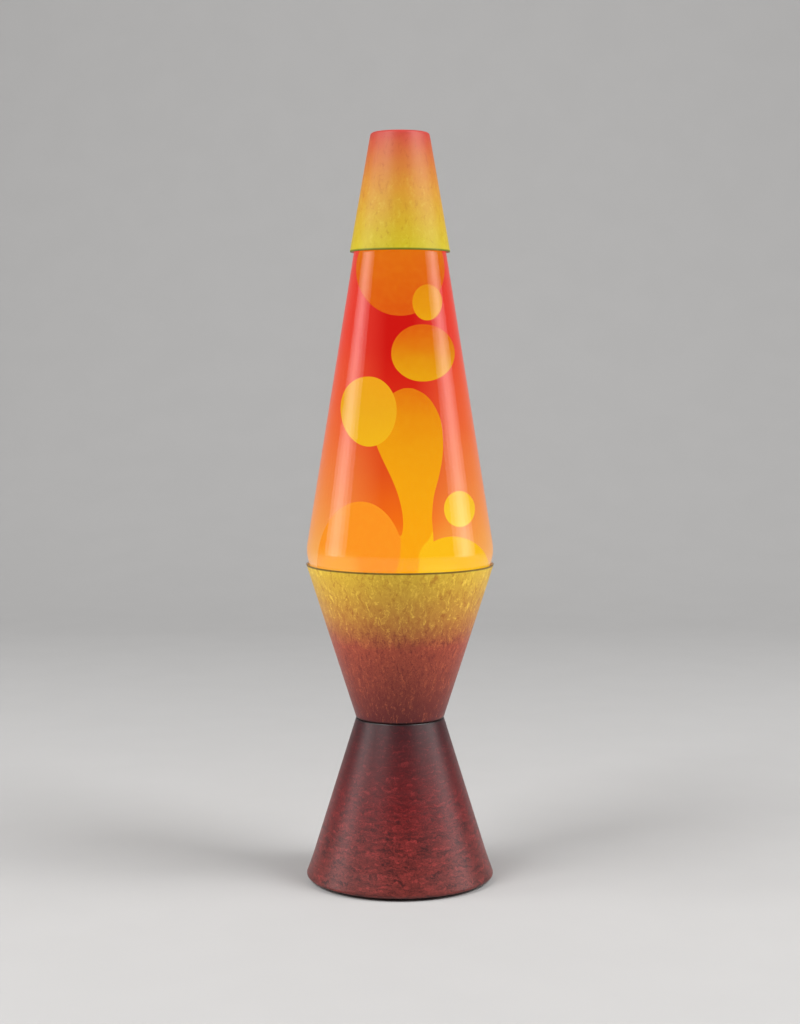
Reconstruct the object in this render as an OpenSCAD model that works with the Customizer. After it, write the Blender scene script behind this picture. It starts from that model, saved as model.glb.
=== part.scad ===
// Motion lamp: a tapered bottle of liquid and wax standing in a waisted metal
// base with a bulb inside it, and closed at the top by a tapered cap.
// The origin is on the surface the lamp stands on, at the middle of its foot.
// +Z is up, and the cord comes in from +Y, the back.

/* [Cap] */
// Height of the whole lamp, up to the flat top of the cap
lamp_h = 368; // [366:0.5:372]
// Height of the cap's open rim
cap_rim_z = 310.3; // [308:0.1:312]
// Outer radius of the cap at its rim
cap_rim_r = 24.55; // [24.4:0.05:25]
// Outer radius that the cap's wall runs to at the top
cap_top_r = 14.3; // [14.2:0.05:15]
// Sheet thickness of the cap
cap_wall = 0.8; // [0.6:0.1:0.9]

/* [Bottle] */
// Height of the bottle's underside
globe_z0 = 130; // [129.5:0.5:131]
// Outer radius of the glass level with the cap's rim
globe_ref_r = 22.98; // [22.7:0.01:23]
// How much the glass widens, per millimetre down
globe_taper = 0.163; // [0.161:0.001:0.164]
// Thickness of the glass
glass_wall = 2.5; // [2:0.1:2.8]
// Radius of the bend between the long taper and the short one
shoulder_r = 18; // [12:1:20]
// Height of the surface of the liquid
liquid_z = 336; // [332:1:338]

/* [Base] */
// Height of the cup's rim
cup_rim_z = 157.8; // [157:0.1:158.5]
// Outer radius of the cup at its rim
cup_rim_r = 46.35; // [46.2:0.05:46.5]
// Height of the waist, where the cup meets the foot
waist_z = 81.2; // [81:0.1:81.5]
// Outer radius of the waist
waist_r = 21.75; // [21.6:0.05:21.9]
// Radius of the foot where the flare at its hem begins
foot_r = 43.3; // [43:0.1:43.5]
// Sheet thickness of both cones
base_wall = 0.8; // [0.6:0.1:1]

/* [Bulb and lampholder] */
// Radius of the bulb's glass
bulb_r = 17.5; // [15:0.5:17.5]
// Overall length of the bulb
bulb_l = 59; // [57:0.5:59]
// Radius over the threads of the bulb's screw shell
screw_r = 8.3; // [8.2:0.05:8.3]
// Clearance between the bulb's screw shell and the lampholder's
screw_gap = 0.1; // [0.05:0.01:0.1]

/* [Cord entry] */
// Height of the cord's entry
cord_z = 14; // [13:0.5:16]
// Bore of the grommet
cord_d = 5.2; // [4.6:0.1:5.4]

/* [Hidden] */
$fn = 96;

// ---- Outlines: [radius, height, corner radius], walked with the solid on the left

function unit(v) = v / norm(v);
function turn(a, b) = a[0] * b[1] - a[1] * b[0];
function left_of(a, b) = let (d = unit(b - a)) [-d[1], d[0]];
function xy(p) = [p[0], p[1]];

// The arc of radius r that rounds the corner at p between a and b, in n steps
function fillet(a, p, b, r, n) =
  r <= 0 ? [p] :
  let (u = unit(a - p), v = unit(b - p),
       h = acos(max(-1, min(1, u * v))) / 2,
       c = p + unit(u + v) * (r / sin(h)),
       s = p + u * (r / tan(h)),
       e = p + v * (r / tan(h)),
       a0 = atan2(s[1] - c[1], s[0] - c[0]),
       a1 = atan2(e[1] - c[1], e[0] - c[0]),
       d = ((a1 - a0 + 540) % 360) - 180,
       k = n > 0 ? n : max(3, ceil(abs(d) / 12)))
  [for (i = [0 : k]) c + r * [cos(a0 + d * i / k), sin(a0 + d * i / k)]];

// An open outline with its corners rounded; the two ends stay as they are
function rounded(p, n = 0) = [for (i = [0 : len(p) - 1])
  each (i == 0 || i == len(p) - 1) ? [xy(p[i])]
    : fillet(xy(p[i - 1]), xy(p[i]), xy(p[i + 1]), p[i][2], n)];

// The same outline moved w to the left
function inset(p, w) = [for (i = [0 : len(p) - 1])
  let (a = xy(p[max(0, i - 1)]), q = xy(p[i]), b = xy(p[min(len(p) - 1, i + 1)]),
       n1 = i == 0 ? left_of(q, b) : left_of(a, q),
       n2 = i == len(p) - 1 ? left_of(a, q) : left_of(q, b),
       m = unit(n1 + n2),
       s = turn(q - a, b - q) >= 0 ? 1 : -1,
       o = q + m * (w / (m * n1)),
       r = p[i][2] <= 0 ? 0 : max(0, p[i][2] - s * w))
  [o[0], o[1], r]];

function flip(p) = [for (i = [len(p) - 1 : -1 : 0]) p[i]];

module spin(p) rotate_extrude() polygon(p);
module ring(r1, r0, z0, z1) spin([[r0, z0], [r1, z0], [r1, z1], [r0, z1]]);

// ---- Cap

cap_slope = (cap_rim_r - cap_top_r) / (lamp_h - cap_rim_z);
cap_wall_h = cap_wall * norm([1, cap_slope]);
cap_line = [[cap_rim_r, cap_rim_z, 0], [cap_top_r, lamp_h, 1.6], [0, lamp_h, 0]];

module cap_shell() color([0.8, 0.5, 0.12])
  let (i = inset(cap_line, cap_wall))
  spin(concat(rounded(cap_line),
    flip(rounded([[cap_rim_r - cap_wall_h, cap_rim_z, 0], i[1], i[2]]))));

// ---- Bottle

taper_len = norm([1, globe_taper]);
cup_slope = (cup_rim_r - waist_r) / (cup_rim_z - waist_z);
cup_wall_h = base_wall * norm([1, cup_slope]);
// The bottle's lower taper follows the cup's inner wall, with play between them
seat_gap = 0.4;
function cone_r(z) = globe_ref_r + (cap_rim_z - z) * globe_taper;
function seat_r(z) = waist_r + (z - waist_z) * cup_slope - cup_wall_h - seat_gap;
shoulder_z = (cone_r(0) - seat_r(0)) / (cup_slope + globe_taper);
punt_r = 28;
punt_h = 3;
neck_z = 344;
lip_z = 354.4;
bore_r = 8;

bottle_line = concat(
  [for (i = [0 : 5]) [punt_r * i / 6, globe_z0 + punt_h * (1 - pow(i / 6, 2)), 0]],
  [[seat_r(globe_z0), globe_z0, 4],
   [cone_r(shoulder_z), shoulder_z, shoulder_r],
   [cone_r(neck_z), neck_z, 5],
   [12.6, neck_z + 3.2, 2],
   [12.6, lip_z - 4.2, 0],
   [13.3, lip_z - 3.4, 0.4],
   [13.3, lip_z, 1.2],
   [bore_r + 0.4, lip_z, 0]]);
body_rows = 8; // rows of bottle_line up to the shoulder

// The inside of the bottle, moved in by gap: from the middle of the bottom up to z = top
function inside(gap, top) =
  let (b = inset(bottle_line, glass_wall + gap))
  concat([[0, b[0][1], 0]],
    [for (i = [1 : body_rows - 1]) b[i]],
    [[cone_r(top) - (glass_wall + gap) * taper_len, top, 0]]);

module globe_bottle() color([0.95, 0.5, 0.35, 0.35])
  spin(concat(rounded(bottle_line), flip(rounded(concat(
    inside(0, 335),
    [[cone_r(342.5) - glass_wall * taper_len, 342.5, 3],
     [bore_r, 347.2, 3], [bore_r, lip_z - 0.4, 0]])))));

// ---- Liquid and wax

pool_z = 149;
blob_gap = 0.3;

module egg(c, s, grow = 0)
  translate(c) scale([s[0] + grow, s[1] + grow, s[2] + grow]) sphere(r = 1, $fn = 48);

// The rising column: [height, x, y, half width, half depth]
column = [
  [146, 3, 8, 20, 14], [154, 4.5, 9, 15, 13], [162, 7, 10, 10.2, 10],
  [171, 8.8, 11, 7.9, 8], [180, 8.7, 11.5, 7.4, 7.6], [190, 8.1, 12, 8.9, 8.6],
  [200, 7.4, 12, 12.1, 10], [210, 5.9, 12, 15.4, 10.8], [219, 4.4, 12, 17.1, 11],
  [228, 4.4, 12, 16, 10.6], [236, 4.2, 12, 12.6, 9], [241, 4, 12, 8.4, 6.4],
  [244, 4, 12, 2.6, 2.2]];

// A smooth curve through the column's rows, u counting rows
function curve(t, u) =
  let (n = len(t) - 1, i = min(n - 1, floor(u)), f = u - i,
       a = t[max(0, i - 1)], b = t[i], c = t[i + 1], d = t[min(n, i + 2)])
  0.5 * (2 * b + (c - a) * f + (2 * a - 5 * b + 4 * c - d) * f * f
         + (3 * b - a - 3 * c + d) * f * f * f);

module loft(t, rings, sides, grow = 0)
  let (n = len(t) - 1,
       pts = [for (j = [0 : rings]) let (q = curve(t, n * j / rings))
         for (k = [0 : sides - 1])
         [q[1] + (q[3] + grow) * cos(360 * k / sides),
          q[2] + (q[4] + grow) * sin(360 * k / sides),
          q[0] + (j == rings ? grow : 0)]])
  polyhedron(pts, concat(
    [[for (k = [0 : sides - 1]) k]],
    [for (j = [0 : rings - 1]) for (k = [0 : sides - 1]) let (e = (k + 1) % sides)
      [j * sides + k, (j + 1) * sides + k, (j + 1) * sides + e, j * sides + e]],
    [[for (k = [sides - 1 : -1 : 0]) rings * sides + k]]));

mound_l = [[-19.6, 5, 157], [21.4, 19, 31]];
mound_r = [[25.2, -8, 156], [16.4, 16, 15.5]];
dome = [[0.3, 4, 302.5], [19.8, 11, 23]];
blobs = [
  [[13.2, -9.4, 285.7], [7.3, 6, 8.8]],
  [[11.3, -2.5, 261.4], [15.7, 14, 14.1]],
  [[-15.3, -9.5, 232.9], [13.8, 12.6, 17.2]],
  [[29.2, -6, 185.1], [7.7, 7.6, 8.9]]];

rings = 26;
sides = 24;
wax_gap = 0.15;
module wax_pool() color([0.98, 0.68, 0.08]) {
  intersection() {
    spin(rounded(concat(inside(wax_gap, 200), [[0, 200, 0]])));
    union() {
      translate([0, 0, globe_z0]) cylinder(r = 60, h = pool_z - globe_z0);
      egg(mound_l[0], mound_l[1]);
      egg(mound_r[0], mound_r[1]);
    }
  }
  loft(column, rings, sides);
}

module wax_dome() color([0.92, 0.5, 0.05]) egg(dome[0], dome[1]);

module blob(i) color([0.96, 0.66, 0.06]) egg(blobs[i][0], blobs[i][1]);
module wax_blob_a() blob(0);
module wax_blob_b() blob(1);
module wax_blob_c() blob(2);
module wax_blob_d() blob(3);

module liquid() color([0.9, 0.12, 0.05, 0.4]) difference() {
  let (p = inside(0.1, liquid_z), z0 = pool_z + blob_gap,
       r0 = seat_r(z0) - (glass_wall + 0.1) * norm([1, cup_slope]))
    spin(rounded([[0, z0, 0], [r0, z0, 0], p[body_rows - 1], p[body_rows], [0, liquid_z, 0]]));
  egg(mound_l[0], mound_l[1], blob_gap);
  egg(mound_r[0], mound_r[1], blob_gap);
  loft(column, rings, sides, blob_gap);
  egg(dome[0], dome[1], blob_gap);
  for (b = blobs) egg(b[0], b[1], blob_gap);
}

// A wire spring closed into a ring, lying in the wax
coil_ring_r = 24;
coil_r = 3.2;
wire_r = 0.55;
coil_turns = 18;
module heat_coil() color("silver")
  let (n = coil_turns * 11, m = 6, z0 = globe_z0 + 7.3,
       path = [for (i = [0 : n - 1]) let (a = 360 * i / n, b = a * coil_turns)
         [(coil_ring_r + coil_r * cos(b)) * cos(a), (coil_ring_r + coil_r * cos(b)) * sin(a),
          z0 + coil_r * sin(b)]],
       pts = [for (i = [0 : n - 1])
         let (t = unit(path[(i + 1) % n] - path[(i + n - 1) % n]),
              a = 360 * i / n,
              mid = [coil_ring_r * cos(a), coil_ring_r * sin(a), z0],
              w = unit(path[i] - mid), v = unit(cross(t, w)), u = cross(v, t))
         for (k = [0 : m - 1])
           path[i] + wire_r * (u * cos(360 * k / m) + v * sin(360 * k / m))])
  polyhedron(pts, [for (i = [0 : n - 1]) for (k = [0 : m - 1])
    let (e = (k + 1) % m, g = (i + 1) % n)
    each [[i * m + k, g * m + k, g * m + e], [i * m + k, g * m + e, i * m + e]]],
    convexity = 10);

// ---- Closure of the bottle: a crimped crown with its liner

flutes = 21;
liner_t = 1;
crown_z = lip_z + liner_t;
module crown_cap() color("gold") {
  spin([[0, crown_z], [12.4, crown_z], [13.3, crown_z - 0.25], [13.9, crown_z - 1],
        [14.1, crown_z - 2.4], [15.3, crown_z - 5.2],
        [15.7, crown_z - 5.2], [14.5, crown_z - 2.2], [14.3, crown_z - 0.7],
        [13.5, crown_z + 0.15], [12.5, crown_z + 0.4], [0, crown_z + 0.4]]);
  for (k = [0 : flutes - 1]) rotate([0, 0, 360 * k / flutes])
    translate([15.25, 0, crown_z - 4.8]) rotate([0, -22, 0])
      cylinder(r1 = 0.7, r2 = 0.4, h = 2.6, $fn = 16);
}

module crown_liner() color("white")
  translate([0, 0, lip_z]) cylinder(r = 12.3, h = liner_t);

// ---- Base

hole_r = 12.5;
cup_line = [[hole_r, waist_z, 0], [waist_r, waist_z, 0.9], [cup_rim_r, cup_rim_z, 0]];
module upper_cone() color([0.62, 0.3, 0.12])
  let (i = inset(cup_line, base_wall))
  spin(concat(rounded(cup_line),
    flip(rounded([i[0], i[1], [cup_rim_r - cup_wall_h, cup_rim_z, 0]]))));

flare_z = 12;
hem_z = 1.5;
flare = 0.355;
lip_r = 41.2;
foot_slope = (foot_r - waist_r) / (waist_z - flare_z);
foot_line = [[lip_r, hem_z, 0], [foot_r + (flare_z - hem_z) * flare, hem_z, 1.3],
             [foot_r, flare_z, 40], [waist_r, waist_z, 0.9], [hole_r, waist_z, 0]];

// Places its children on the rear wall of the foot, with +Z out along the wall's normal
module at_cord_entry()
  translate([0, foot_r - (cord_z - flare_z) * foot_slope, cord_z])
    rotate([atan(foot_slope) - 90, 0, 0]) children();

grommet_r = 3.7;
module lower_cone() color([0.45, 0.12, 0.12]) difference() {
  spin(concat(rounded(foot_line), flip(rounded(inset(foot_line, base_wall)))));
  at_cord_entry() translate([0, 0, -4]) cylinder(r = grommet_r + 0.1, h = 8);
}

module cord_grommet() color([0.12, 0.12, 0.12]) at_cord_entry() difference() {
  union() {
    translate([0, 0, 0.05]) cylinder(r1 = 5.2, r2 = 4.6, h = 1.5);
    translate([0, 0, -2.6]) cylinder(r = grommet_r, h = 2.8);
    translate([0, 0, -2.4]) cylinder(r1 = 3.9, r2 = 4.5, h = 1.3);
  }
  translate([0, 0, -4]) cylinder(r = cord_d / 2, h = 8);
}

plate_z = 1.6;
plate_t = 2;
foot_pad_r = 4.5;
pad_at = 35.4;
pad_h = 2.1;
vents = 12;
module base_plate() color([0.1, 0.1, 0.1]) difference() {
  union() {
    translate([0, 0, plate_z]) cylinder(r = lip_r - 0.1, h = plate_t);
    for (k = [0 : 3]) rotate([0, 0, 90 * k - 12])
      rotate_extrude(angle = 24)
        translate([lip_r - 1.2, hem_z + base_wall]) square([2.5, plate_z + plate_t - hem_z - base_wall]);
  }
  for (k = [0 : vents - 1]) rotate([0, 0, 360 * (k + 0.5) / vents])
    translate([14, -1.5, 0]) cube([15, 3, 6]);
  for (k = [0 : 3]) rotate([0, 0, 90 * k + 45])
    translate([pad_at, 0, 0]) cylinder(r = foot_pad_r + 0.15, h = pad_h);
}

module feet() color([0.18, 0.18, 0.18])
  for (k = [0 : 3]) rotate([0, 0, 90 * k + 45])
    translate([pad_at, 0, 0]) {
      cylinder(r1 = foot_pad_r - 0.4, r2 = foot_pad_r, h = 0.4);
      translate([0, 0, 0.4]) cylinder(r = foot_pad_r, h = pad_h - 0.4);
    }

// ---- Lampholder

barrel_r = 12.3;
floor_z = waist_z + base_wall;
holder_z0 = 60;
contact_z = 66.2;
holder_bore = screw_r + screw_gap + 0.35;
shell_t = 0.3;

module socket_body() color([0.93, 0.91, 0.86]) difference() {
  spin([[0, holder_z0], [barrel_r - 0.8, holder_z0], [barrel_r, holder_z0 + 0.8],
        [barrel_r, floor_z], [16.5, floor_z], [16.5, floor_z + 2.1], [16, floor_z + 2.6],
        [holder_bore + 0.6, floor_z + 2.6], [holder_bore, floor_z + 2],
        [holder_bore, contact_z], [0, contact_z]]);
  translate([0, 0, holder_z0 - 1]) cylinder(r = 1.3, h = 10);
  for (s = [-90, 90]) translate([0, 0, holder_z0 + 3.1]) rotate([0, s, 0])
    translate([0, 0, 6]) cylinder(r = 1.5, h = 10);
}

module socket_screw_shell() color("goldenrod")
  spin([[5, contact_z + 1.2], [holder_bore - 0.05, contact_z + 1.2],
        [holder_bore - 0.05, floor_z + 1.8], [screw_r + screw_gap, floor_z + 1.8],
        [screw_r + screw_gap, contact_z + 1.2 + shell_t], [5, contact_z + 1.2 + shell_t]]);

module socket_centre_contact() color("goldenrod") {
  translate([-6, -2.2, contact_z]) cube([12, 4.4, 0.45]);
  translate([0, 0, holder_z0 - 0.8]) cylinder(r = 1.25, h = contact_z - holder_z0 + 1);
  translate([0, 0, holder_z0 - 0.9]) cylinder(r = 2.2, h = 0.85);
}

module terminal_screws() color("gold")
  for (s = [-90, 90]) translate([0, 0, holder_z0 + 3.1]) rotate([0, s, 0]) difference() {
    union() {
      translate([0, 0, 7]) cylinder(r = 1.4, h = 6);
      translate([0, 0, barrel_r + 0.05]) cylinder(r = 2.6, h = 1.7);
    }
    translate([-0.35, -4, barrel_r + 1]) cube([0.7, 8, 2]);
  }

washer_t = 0.8;
module lock_washer() color("silver")
  ring(15.6, barrel_r + 0.15, waist_z - base_wall - washer_t, waist_z - base_wall);

module ring_nut() color([0.2, 0.2, 0.2])
  let (z1 = waist_z - base_wall - washer_t)
  translate([0, 0, z1 - 5]) difference() {
    cylinder(r = 17, h = 5, $fn = 6);
    translate([0, 0, -1]) cylinder(r = barrel_r + 0.08, h = 7);
  }

// ---- Bulb: tip at tip_z, seated in the lampholder

tip_z = 67;
bulb_top = tip_z + bulb_l;
bulb_c = bulb_top - bulb_r;
shell_z0 = tip_z + 4.2;
shell_z1 = tip_z + 23;
glass_t = 0.6;
neck_r = screw_r - shell_t - 0.1;
pin_r = 1;
waist_a = 42;

module bulb_contact() color("silver") translate([0, 0, tip_z]) {
  cylinder(r1 = 2.6, r2 = 3.2, h = 0.6);
  translate([0, 0, 0.6]) cylinder(r = 3.2, h = 0.6);
  translate([0, 0, 1.2]) cylinder(r = pin_r, h = 2.2);
}

module bulb_insulator() color([0.15, 0.08, 0.2])
  spin([[pin_r + 0.08, tip_z + 1.28], [4.4, tip_z + 1.28], [7.8, shell_z0 - 0.02],
        [7.0, shell_z0 - 0.02], [7.0, shell_z0 + 0.3], [pin_r + 0.08, shell_z0 + 0.3]]);

module bulb_screw_shell() color("silver")
  spin([[7.1, shell_z0], [screw_r - 0.3, shell_z0], [screw_r, shell_z0 + 0.3],
        [screw_r, shell_z1], [screw_r - shell_t, shell_z1],
        [screw_r - shell_t, shell_z0 + shell_t], [7.1, shell_z0 + shell_t]]);

bulb_line = concat(
  [[neck_r, shell_z1 - 3, 0],
   [neck_r, bulb_c - bulb_r * sin(waist_a) - (bulb_r * cos(waist_a) - neck_r) / tan(waist_a), 5]],
  [for (i = [0 : 22]) let (a = -waist_a + (90 + waist_a) * i / 22)
    [bulb_r * cos(a), bulb_c + bulb_r * sin(a), 0]]);

module bulb_envelope() color([1, 0.95, 0.85, 0.4])
  let (o = rounded(bulb_line), i = rounded(inset(bulb_line, glass_t)))
  spin(concat([for (k = [0 : len(o) - 2]) o[k]], [[0, bulb_top], [0, bulb_top - glass_t]],
    [for (k = [len(i) - 2 : -1 : 0]) i[k]]));

stem_top = tip_z + 33;
module bulb_stem() color([0.85, 0.92, 0.95, 0.5])
  spin(rounded([[0, shell_z1 - 3, 0], [neck_r - glass_t - 0.1, shell_z1 - 3, 0],
    [neck_r - glass_t - 0.1, shell_z1 - 2, 0.3], [3, shell_z1 + 1.5, 2],
    [2.2, stem_top, 0.5], [0, stem_top, 0]]));

fil_r = 7.5;
fil_z = bulb_c + 1;
fil_a = 110;
module wire(a, b, r) translate(a) let (d = b - a)
  rotate([0, acos(d[2] / norm(d)), atan2(d[1], d[0])]) cylinder(r = r, h = norm(d), $fn = 16);

module bulb_supports() color("silver") {
  for (s = [-1, 1])
    wire([1.2 * s, 0, stem_top - 4], [fil_r * sin(fil_a) * s, fil_r * cos(fil_a), fil_z], 0.25);
  wire([0, 0.6, stem_top - 4], [0, fil_r, fil_z], 0.2);
}

module filament() color([1, 0.8, 0.4])
  translate([0, 0, fil_z]) rotate([0, 0, 90 - fil_a])
    rotate_extrude(angle = 2 * fil_a) translate([fil_r, 0]) circle(r = 0.4, $fn = 16);

lower_cone();
upper_cone();
base_plate();
feet();
cord_grommet();
socket_body();
socket_screw_shell();
socket_centre_contact();
terminal_screws();
ring_nut();
lock_washer();
bulb_contact();
bulb_envelope();
bulb_screw_shell();
bulb_insulator();
bulb_stem();
bulb_supports();
filament();
globe_bottle();
liquid();
wax_pool();
wax_dome();
heat_coil();
crown_cap();
crown_liner();
wax_blob_a();
wax_blob_b();
wax_blob_c();
wax_blob_d();
cap_shell();
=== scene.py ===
# Motion lamp: the looks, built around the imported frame.
# Every length in the outlines below is in millimetres; the meshes are in metres.
import math

import bmesh
import bpy
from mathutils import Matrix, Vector, noise


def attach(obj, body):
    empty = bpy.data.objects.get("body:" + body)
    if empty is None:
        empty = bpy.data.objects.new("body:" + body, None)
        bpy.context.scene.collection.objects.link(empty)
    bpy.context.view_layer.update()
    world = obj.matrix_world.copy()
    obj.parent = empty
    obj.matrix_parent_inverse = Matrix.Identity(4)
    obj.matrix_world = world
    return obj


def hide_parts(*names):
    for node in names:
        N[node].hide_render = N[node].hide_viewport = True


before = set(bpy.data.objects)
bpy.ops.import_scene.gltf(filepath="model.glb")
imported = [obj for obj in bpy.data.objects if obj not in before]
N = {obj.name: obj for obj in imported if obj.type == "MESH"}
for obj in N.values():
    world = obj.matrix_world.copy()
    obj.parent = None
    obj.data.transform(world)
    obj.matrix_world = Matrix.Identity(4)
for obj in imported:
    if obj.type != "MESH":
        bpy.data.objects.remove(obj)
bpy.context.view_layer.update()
MM = 0.001

# ---------------------------------------------------------------- camera

scene = bpy.context.scene
scene.view_settings.view_transform = "Standard"
scene.view_settings.look = "None"
cam_data = bpy.data.cameras.new("camera")
cam_data.lens = 67.06
cam_data.sensor_width = 36
cam = bpy.data.objects.new("camera", cam_data)
cam.location = (0, -0.9386, 0.2562)
cam.rotation_euler = (math.radians(90 - 4.45), 0, 0)
scene.collection.objects.link(cam)
scene.camera = cam

# ---------------------------------------------------------------- outlines


def unit(v):
    d = math.hypot(v[0], v[1])
    return (v[0] / d, v[1] / d)


def fillet(a, p, b, r, step=7.5):
    """The arc of radius r that rounds the corner at p between a and b."""
    if r <= 0:
        return [(p[0], p[1])]
    u = unit((a[0] - p[0], a[1] - p[1]))
    v = unit((b[0] - p[0], b[1] - p[1]))
    h = math.acos(max(-1, min(1, u[0] * v[0] + u[1] * v[1]))) / 2
    w = unit((u[0] + v[0], u[1] + v[1]))
    c = (p[0] + w[0] * r / math.sin(h), p[1] + w[1] * r / math.sin(h))
    s = (p[0] + u[0] * r / math.tan(h), p[1] + u[1] * r / math.tan(h))
    e = (p[0] + v[0] * r / math.tan(h), p[1] + v[1] * r / math.tan(h))
    a0 = math.atan2(s[1] - c[1], s[0] - c[0])
    a1 = math.atan2(e[1] - c[1], e[0] - c[0])
    d = (a1 - a0 + 3 * math.pi) % (2 * math.pi) - math.pi
    k = max(4, math.ceil(abs(math.degrees(d)) / step))
    return [
        (c[0] + r * math.cos(a0 + d * i / k), c[1] + r * math.sin(a0 + d * i / k))
        for i in range(k + 1)
    ]


def rounded(p):
    out = []
    for i, q in enumerate(p):
        if i in (0, len(p) - 1):
            out.append((q[0], q[1]))
        else:
            out += fillet(p[i - 1], q, p[i + 1], q[2] if len(q) > 2 else 0)
    return out


def inset(p, w):
    """The outline moved w to the left of its direction."""
    out = []
    for i, q in enumerate(p):
        a, b = p[max(0, i - 1)], p[min(len(p) - 1, i + 1)]

        def left(m, n):
            d = unit((n[0] - m[0], n[1] - m[1]))
            return (-d[1], d[0])

        n1 = left(q, b) if i == 0 else left(a, q)
        n2 = left(a, q) if i == len(p) - 1 else left(q, b)
        m = unit((n1[0] + n2[0], n1[1] + n2[1]))
        k = w / (m[0] * n1[0] + m[1] * n1[1])
        s = 1 if (q[0] - a[0]) * (b[1] - q[1]) - (q[1] - a[1]) * (b[0] - q[0]) >= 0 else -1
        r = q[2] if len(q) > 2 else 0
        out.append((q[0] + m[0] * k, q[1] + m[1] * k, 0 if r <= 0 else max(0, r - s * w)))
    return out


def new_piece(name, verts, faces, smooth=True, sharp=35):
    me = bpy.data.meshes.new(name)
    me.from_pydata(verts, [], faces)
    me.validate()
    me.update()
    ob = bpy.data.objects.new(name, me)
    scene.collection.objects.link(ob)
    if smooth:
        me.polygons.foreach_set("use_smooth", [True] * len(me.polygons))
        me.set_sharp_from_angle(angle=math.radians(sharp))
    return ob


def lathe(name, loop, segs=192, second=None, sharp=35, closed=True):
    """Turns an outline (radius, height), walked with the solid on its left, about Z.
    The rows from index second on take the second material slot."""
    verts, rows = [], []
    for r, z in loop:
        if r < 1e-6:
            rows.append([len(verts)])
            verts.append((0, 0, z * MM))
        else:
            rows.append(list(range(len(verts), len(verts) + segs)))
            for k in range(segs):
                t = 2 * math.pi * k / segs
                verts.append((r * math.cos(t) * MM, r * math.sin(t) * MM, z * MM))
    faces, slot_of = [], []
    last = len(rows) if closed else len(rows) - 1
    for i in range(last):
        a, b = rows[i], rows[(i + 1) % len(rows)]
        if len(a) == 1 and len(b) == 1:
            continue
        for k in range(segs):
            e = (k + 1) % segs
            if len(a) == 1:
                faces.append((a[0], b[e], b[k]))
            elif len(b) == 1:
                faces.append((a[k], a[e], b[0]))
            else:
                faces.append((a[k], a[e], b[e], b[k]))
            slot_of.append(1 if second is not None and i >= second else 0)
    ob = new_piece(name, verts, faces, sharp=sharp)
    if second is not None:
        ob.data.polygons.foreach_set("material_index", slot_of)
    return ob


# ---------------------------------------------------------------- node helpers


def lin(c):
    """A display colour, 0 to 255 each, as linear RGBA."""
    return tuple(
        (v / 255 / 12.92) if v / 255 <= 0.04045 else ((v / 255 + 0.055) / 1.055) ** 2.4
        for v in c
    ) + (1.0,)


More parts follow.
